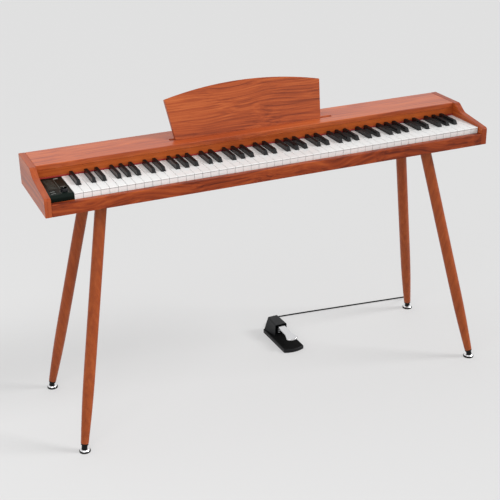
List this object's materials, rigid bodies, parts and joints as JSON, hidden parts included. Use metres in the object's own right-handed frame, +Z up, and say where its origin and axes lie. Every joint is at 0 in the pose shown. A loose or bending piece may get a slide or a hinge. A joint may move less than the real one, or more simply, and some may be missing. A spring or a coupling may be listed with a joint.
{
  "type": "digital piano",
  "caption": "Slim digital piano in a wooden case on four splayed tapered legs, with a curved music desk, a control panel left of the keys and a sustain pedal on a cord.",
  "frame": {"origin": "on the floor, midway between the ends of the case and between the front of the front feet and the back of the pedal", "axes": "+X to the player's right, +Y away from the player, +Z up"},
  "size_m": [1.325, 0.5099, 0.9081],
  "materials": {
    "case_wood": "satin lacquer over veneer",
    "board": "matte",
    "desk_wood": "satin lacquer over veneer",
    "leg_wood": "satin lacquer",
    "key_white": "semi-gloss",
    "key_black": "satin",
    "felt": "felt",
    "panel": "gloss",
    "display": "gloss",
    "steel": "matte",
    "bright_steel": "bright",
    "circuit": "solder mask",
    "rubber": "matte",
    "black_plastic": "fine texture",
    "chrome": "polished",
    "foot_black": "satin",
    "foot_chrome": "polished, on a black rim",
    "cord": "matte"
  },
  "bodies": {
    "case": {"left_cheek": "case_wood", "right_cheek": "case_wood", "top_lid": "case_wood", "fallboard": "case_wood", "key_slip": "case_wood", "bottom_board": "board", "back_panel": "board", "key_chassis": "steel", "pivot_rod": "bright_steel", "felt_strips": "felt", "contact_board": "circuit", "rubber_domes": "rubber", "control_panel": "panel", "display_window": "display", "main_board": "circuit", "speakers": "black_plastic", "speaker_grilles": "black_plastic", "socket_plate": "black_plastic", "jack_plug": "black_plastic", "leg_plates": "steel", "leg_necks": "foot_black", "case_screws": "steel", "leg_front_left": "leg_wood", "leg_front_right": "leg_wood", "leg_rear_left": "leg_wood", "leg_rear_right": "leg_wood", "pedal_base": "black_plastic", "pedal_cover": "black_plastic", "pedal_pin": "bright_steel", "pedal_spring": "steel", "pedal_cord": "cord", "cord_clips": "black_plastic"},
    "music_desk": {"music_desk": "desk_wood"},
    "volume_knob": {"volume_knob": "panel"},
    "power_button": {"power_button": "panel"},
    "voice_button": {"voice_button": "panel"},
    "function_button": {"function_button": "panel"},
    "pedal_treadle": {"pedal_treadle": "chrome"},
    "foot_front_left": {"foot_front_left": "foot_chrome"},
    "foot_front_right": {"foot_front_right": "foot_chrome"},
    "foot_rear_left": {"foot_rear_left": "foot_chrome"},
    "foot_rear_right": {"foot_rear_right": "foot_chrome"},
    "key_c4": {"key_c4": "key_white"},
    "key_c4_sharp": {"key_c4_sharp": "key_black"},
    "key_d4": {"key_d4": "key_white"},
    "key_d4_sharp": {"key_d4_sharp": "key_black"},
    "key_e4": {"key_e4": "key_white"},
    "key_f4": {"key_f4": "key_white"},
    "key_f4_sharp": {"key_f4_sharp": "key_black"},
    "key_g4": {"key_g4": "key_white"},
    "key_g4_sharp": {"key_g4_sharp": "key_black"},
    "key_a4": {"key_a4": "key_white"},
    "key_a4_sharp": {"key_a4_sharp": "key_black"},
    "key_b4": {"key_b4": "key_white"},
    "key_c5": {"key_c5": "key_white"},
    "white_keys_low": {"white_keys_low": "key_white"},
    "black_keys_low": {"black_keys_low": "key_black"},
    "white_keys_high": {"white_keys_high": "key_white"},
    "black_keys_high": {"black_keys_high": "key_black"}
  },
  "joints": [
    {"name": "desk_lift", "type": "slide", "parent": "case", "child": "music_desk", "axis": [0, 0.342, 0.9397], "range_m": [0, 0.02]},
    {"name": "volume_turn", "type": "hinge", "parent": "case", "child": "volume_knob", "pos_m": [-0.599, -0.1165, 0.742], "axis": [0, 0, 1], "range_deg": [-150, 150]},
    {"name": "power_press", "type": "slide", "parent": "case", "child": "power_button", "axis": [0, 0, 1], "range_m": [-0.001, 0], "stiffness_N_per_m": 500, "springref_m": 0.001},
    {"name": "voice_press", "type": "slide", "parent": "case", "child": "voice_button", "axis": [0, 0, 1], "range_m": [-0.001, 0], "stiffness_N_per_m": 500, "springref_m": 0.001},
    {"name": "function_press", "type": "slide", "parent": "case", "child": "function_button", "axis": [0, 0, 1], "range_m": [-0.001, 0], "stiffness_N_per_m": 500, "springref_m": 0.001},
    {"name": "treadle_press", "type": "hinge", "parent": "case", "child": "pedal_treadle", "pos_m": [0.13736, 0.19251, 0.041], "axis": [0.9996, 0.0279, 0], "range_deg": [0, 7], "stiffness_Nm_per_rad": 2, "springref_deg": -22.92, "deforming": ["pedal_spring"]},
    {"name": "foot_front_left_turn", "type": "hinge", "parent": "case", "child": "foot_front_left", "pos_m": [-0.62871, -0.20462, 0.004], "axis": [0, 0, 1], "continuous": true},
    {"name": "foot_front_right_turn", "type": "hinge", "parent": "case", "child": "foot_front_right", "pos_m": [0.62871, -0.20462, 0.004], "axis": [0, 0, 1], "continuous": true},
    {"name": "foot_rear_left_turn", "type": "hinge", "parent": "case", "child": "foot_rear_left", "pos_m": [-0.62871, 0.16562, 0.004], "axis": [0, 0, 1], "continuous": true},
    {"name": "foot_rear_right_turn", "type": "hinge", "parent": "case", "child": "foot_rear_right", "pos_m": [0.62871, 0.16562, 0.004], "axis": [0, 0, 1], "continuous": true},
    {"name": "key_c4_press", "type": "hinge", "parent": "case", "child": "key_c4", "pos_m": [0, 0.0525, 0.7285], "axis": [1, 0, 0], "range_deg": [0, 2.97], "stiffness_Nm_per_rad": 0.6, "springref_deg": -14.32},
    {"name": "key_c4_sharp_press", "type": "hinge", "parent": "case", "child": "key_c4_sharp", "pos_m": [0, 0.0525, 0.7285], "axis": [1, 0, 0], "range_deg": [0, 4], "stiffness_Nm_per_rad": 0.4, "springref_deg": -14.32},
    {"name": "key_d4_press", "type": "hinge", "parent": "case", "child": "key_d4", "pos_m": [0, 0.0525, 0.7285], "axis": [1, 0, 0], "range_deg": [0, 2.97], "stiffness_Nm_per_rad": 0.6, "springref_deg": -14.32},
    {"name": "key_d4_sharp_press", "type": "hinge", "parent": "case", "child": "key_d4_sharp", "pos_m": [0, 0.0525, 0.7285], "axis": [1, 0, 0], "range_deg": [0, 4], "stiffness_Nm_per_rad": 0.4, "springref_deg": -14.32},
    {"name": "key_e4_press", "type": "hinge", "parent": "case", "child": "key_e4", "pos_m": [0, 0.0525, 0.7285], "axis": [1, 0, 0], "range_deg": [0, 2.97], "stiffness_Nm_per_rad": 0.6, "springref_deg": -14.32},
    {"name": "key_f4_press", "type": "hinge", "parent": "case", "child": "key_f4", "pos_m": [0, 0.0525, 0.7285], "axis": [1, 0, 0], "range_deg": [0, 2.97], "stiffness_Nm_per_rad": 0.6, "springref_deg": -14.32},
    {"name": "key_f4_sharp_press", "type": "hinge", "parent": "case", "child": "key_f4_sharp", "pos_m": [0, 0.0525, 0.7285], "axis": [1, 0, 0], "range_deg": [0, 4], "stiffness_Nm_per_rad": 0.4, "springref_deg": -14.32},
    {"name": "key_g4_press", "type": "hinge", "parent": "case", "child": "key_g4", "pos_m": [0, 0.0525, 0.7285], "axis": [1, 0, 0], "range_deg": [0, 2.97], "stiffness_Nm_per_rad": 0.6, "springref_deg": -14.32},
    {"name": "key_g4_sharp_press", "type": "hinge", "parent": "case", "child": "key_g4_sharp", "pos_m": [0, 0.0525, 0.7285], "axis": [1, 0, 0], "range_deg": [0, 4], "stiffness_Nm_per_rad": 0.4, "springref_deg": -14.32},
    {"name": "key_a4_press", "type": "hinge", "parent": "case", "child": "key_a4", "pos_m": [0, 0.0525, 0.7285], "axis": [1, 0, 0], "range_deg": [0, 2.97], "stiffness_Nm_per_rad": 0.6, "springref_deg": -14.32},
    {"name": "key_a4_sharp_press", "type": "hinge", "parent": "case", "child": "key_a4_sharp", "pos_m": [0, 0.0525, 0.7285], "axis": [1, 0, 0], "range_deg": [0, 4], "stiffness_Nm_per_rad": 0.4, "springref_deg": -14.32},
    {"name": "key_b4_press", "type": "hinge", "parent": "case", "child": "key_b4", "pos_m": [0, 0.0525, 0.7285], "axis": [1, 0, 0], "range_deg": [0, 2.97], "stiffness_Nm_per_rad": 0.6, "springref_deg": -14.32},
    {"name": "key_c5_press", "type": "hinge", "parent": "case", "child": "key_c5", "pos_m": [0, 0.0525, 0.7285], "axis": [1, 0, 0], "range_deg": [0, 2.97], "stiffness_Nm_per_rad": 0.6, "springref_deg": -14.32},
    {"name": "white_keys_low_press", "type": "hinge", "parent": "case", "child": "white_keys_low", "pos_m": [0, 0.0525, 0.7285], "axis": [1, 0, 0], "range_deg": [0, 2.97], "stiffness_Nm_per_rad": 13.8, "springref_deg": -14.32},
    {"name": "black_keys_low_press", "type": "hinge", "parent": "case", "child": "black_keys_low", "pos_m": [0, 0.0525, 0.7285], "axis": [1, 0, 0], "range_deg": [0, 4], "stiffness_Nm_per_rad": 6.4, "springref_deg": -14.32},
    {"name": "white_keys_high_press", "type": "hinge", "parent": "case", "child": "white_keys_high", "pos_m": [0, 0.0525, 0.7285], "axis": [1, 0, 0], "range_deg": [0, 2.97], "stiffness_Nm_per_rad": 12.6, "springref_deg": -14.32},
    {"name": "black_keys_high_press", "type": "hinge", "parent": "case", "child": "black_keys_high", "pos_m": [0, 0.0525, 0.7285], "axis": [1, 0, 0], "range_deg": [0, 4], "stiffness_Nm_per_rad": 6, "springref_deg": -14.32}
  ]
}
